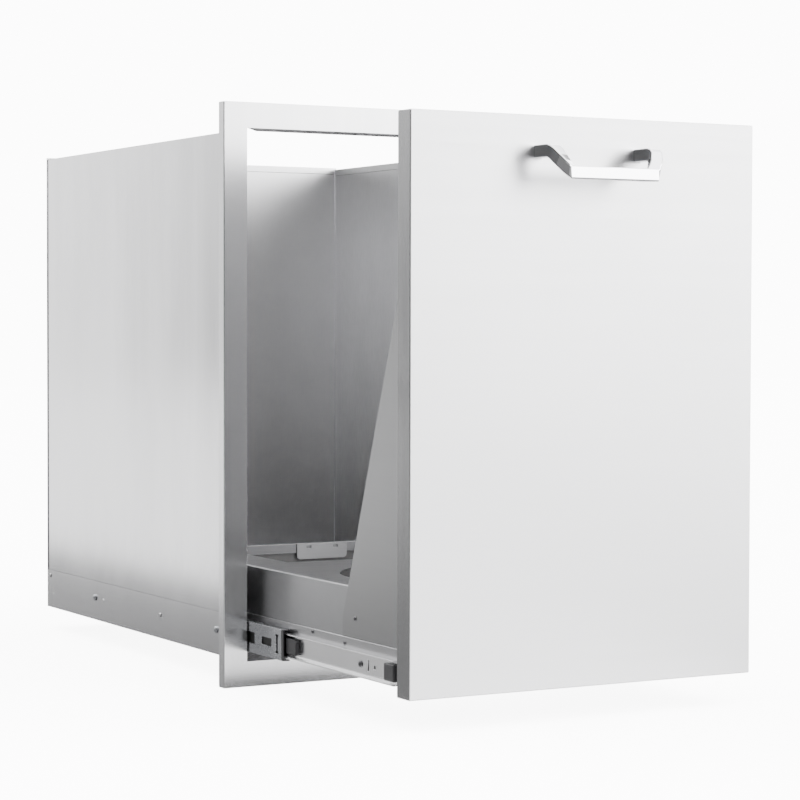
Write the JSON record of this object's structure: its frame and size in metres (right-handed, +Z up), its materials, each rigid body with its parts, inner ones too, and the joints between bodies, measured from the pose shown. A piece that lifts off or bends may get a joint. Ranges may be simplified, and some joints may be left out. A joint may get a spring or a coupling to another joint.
{
  "type": "roll-out waste drawer",
  "caption": "Built-in stainless roll-out waste drawer: flanged face frame, open-topped liner, inset front with bow handle, and a bin tray on telescopic ball-bearing slides.",
  "frame": {"origin": "the middle of the seating face on the back of the face frame's bottom rail, where it rests on the front of the cabinet or island", "axes": "+X to the right seen from the front, +Y into the cabinet, +Z up; the drawer rolls out along -Y and is stored 381.6 mm open"},
  "size_m": [0.508, 1.0744, 0.6858],
  "materials": {
    "frame_steel": "brushed stainless, fine grain along each rail and stile",
    "liner_steel": "mill-finish stainless sheet, softly mirrored, faint vertical waves",
    "panel_steel": "pale, finely brushed stainless",
    "tray_steel": "satin stainless sheet",
    "chrome": "polished chrome plate",
    "zinc_plate": "bright zinc-plated steel",
    "slide_steel": "light zinc-plated steel strip",
    "black_plastic": "black moulded plastic, satin"
  },
  "bodies": {
    "cabinet": {"face_frame": "frame_steel", "left_side_panel": "liner_steel", "right_side_panel": "liner_steel", "back_panel": "liner_steel", "base_pan": "liner_steel", "left_cabinet_slide_member": "zinc_plate", "left_slide_screw_front": "zinc_plate", "left_slide_screw_rear": "zinc_plate", "left_liner_rivet_middle": "liner_steel", "left_liner_rivet_rear": "liner_steel", "right_cabinet_slide_member": "zinc_plate", "right_slide_screw_front": "zinc_plate", "right_slide_screw_rear": "zinc_plate", "right_liner_rivet_middle": "liner_steel", "right_liner_rivet_rear": "liner_steel"},
    "left_middle_member": {"left_middle_slide_member": "zinc_plate", "left_middle_member_cap": "black_plastic"},
    "right_middle_member": {"right_middle_slide_member": "zinc_plate", "right_middle_member_cap": "black_plastic"},
    "drawer": {"drawer_front_skin": "panel_steel", "drawer_front_cover": "panel_steel", "handle": "chrome", "tray": "tray_steel", "rear_bracket": "tray_steel", "left_handle_screw": "zinc_plate", "left_drawer_slide_member": "slide_steel", "left_slide_bumper": "black_plastic", "left_drawer_screw_front": "zinc_plate", "left_drawer_screw_rear": "zinc_plate", "left_tray_band": "tray_steel", "left_gusset": "tray_steel", "left_gusset_rivet": "zinc_plate", "left_tray_rivet_front": "zinc_plate", "left_tray_rivet_rear": "zinc_plate", "right_handle_screw": "zinc_plate", "right_drawer_slide_member": "slide_steel", "right_slide_bumper": "black_plastic", "right_drawer_screw_front": "zinc_plate", "right_drawer_screw_rear": "zinc_plate", "right_tray_band": "tray_steel", "right_gusset": "tray_steel", "right_gusset_rivet": "zinc_plate", "right_tray_rivet_front": "zinc_plate", "right_tray_rivet_rear": "zinc_plate"},
    "left_outer_cage": {"left_outer_ball_cage": "zinc_plate"},
    "right_outer_cage": {"right_outer_ball_cage": "zinc_plate"},
    "left_inner_cage": {"left_inner_ball_cage": "zinc_plate"},
    "right_inner_cage": {"right_inner_ball_cage": "zinc_plate"},
    "left_lever": {"left_release_lever": "black_plastic"},
    "right_lever": {"right_release_lever": "black_plastic"}
  },
  "joints": [
    {"name": "left_middle_slide", "type": "slide", "parent": "cabinet", "child": "left_middle_member", "axis": [0, -1, 0], "range_m": [-0.1276, 0.1264]},
    {"name": "right_middle_slide", "type": "slide", "parent": "cabinet", "child": "right_middle_member", "axis": [0, -1, 0], "range_m": [-0.1276, 0.1264]},
    {"name": "drawer_slide", "type": "slide", "parent": "left_middle_member", "child": "drawer", "axis": [0, -1, 0], "range_m": [-0.254, 0]},
    {"name": "left_outer_cage_slide", "type": "slide", "parent": "cabinet", "child": "left_outer_cage", "axis": [0, -1, 0], "range_m": [-0.0638, 0.0632]},
    {"name": "right_outer_cage_slide", "type": "slide", "parent": "cabinet", "child": "right_outer_cage", "axis": [0, -1, 0], "range_m": [-0.0638, 0.0632]},
    {"name": "left_inner_cage_slide", "type": "slide", "parent": "left_middle_member", "child": "left_inner_cage", "axis": [0, -1, 0], "range_m": [-0.127, 0]},
    {"name": "right_inner_cage_slide", "type": "slide", "parent": "right_middle_member", "child": "right_inner_cage", "axis": [0, -1, 0], "range_m": [-0.127, 0]},
    {"name": "left_lever_hinge", "type": "hinge", "parent": "drawer", "child": "left_lever", "pos_m": [-0.2169, -0.128, 0.0535], "axis": [1, 0, 0], "range_deg": [0, 8], "stiffness_Nm_per_rad": 0.02},
    {"name": "right_lever_hinge", "type": "hinge", "parent": "drawer", "child": "right_lever", "pos_m": [0.2169, -0.128, 0.0535], "axis": [-1, 0, 0], "range_deg": [0, 8], "stiffness_Nm_per_rad": 0.02}
  ],
  "couplings": [
    {"joint": "right_middle_slide", "follows": "left_middle_slide", "ratio": 1},
    {"joint": "left_outer_cage_slide", "follows": "left_middle_slide", "ratio": 0.5},
    {"joint": "right_outer_cage_slide", "follows": "left_middle_slide", "ratio": 0.5},
    {"joint": "left_inner_cage_slide", "follows": "drawer_slide", "ratio": 0.5},
    {"joint": "right_inner_cage_slide", "follows": "drawer_slide", "ratio": 0.5}
  ]
}
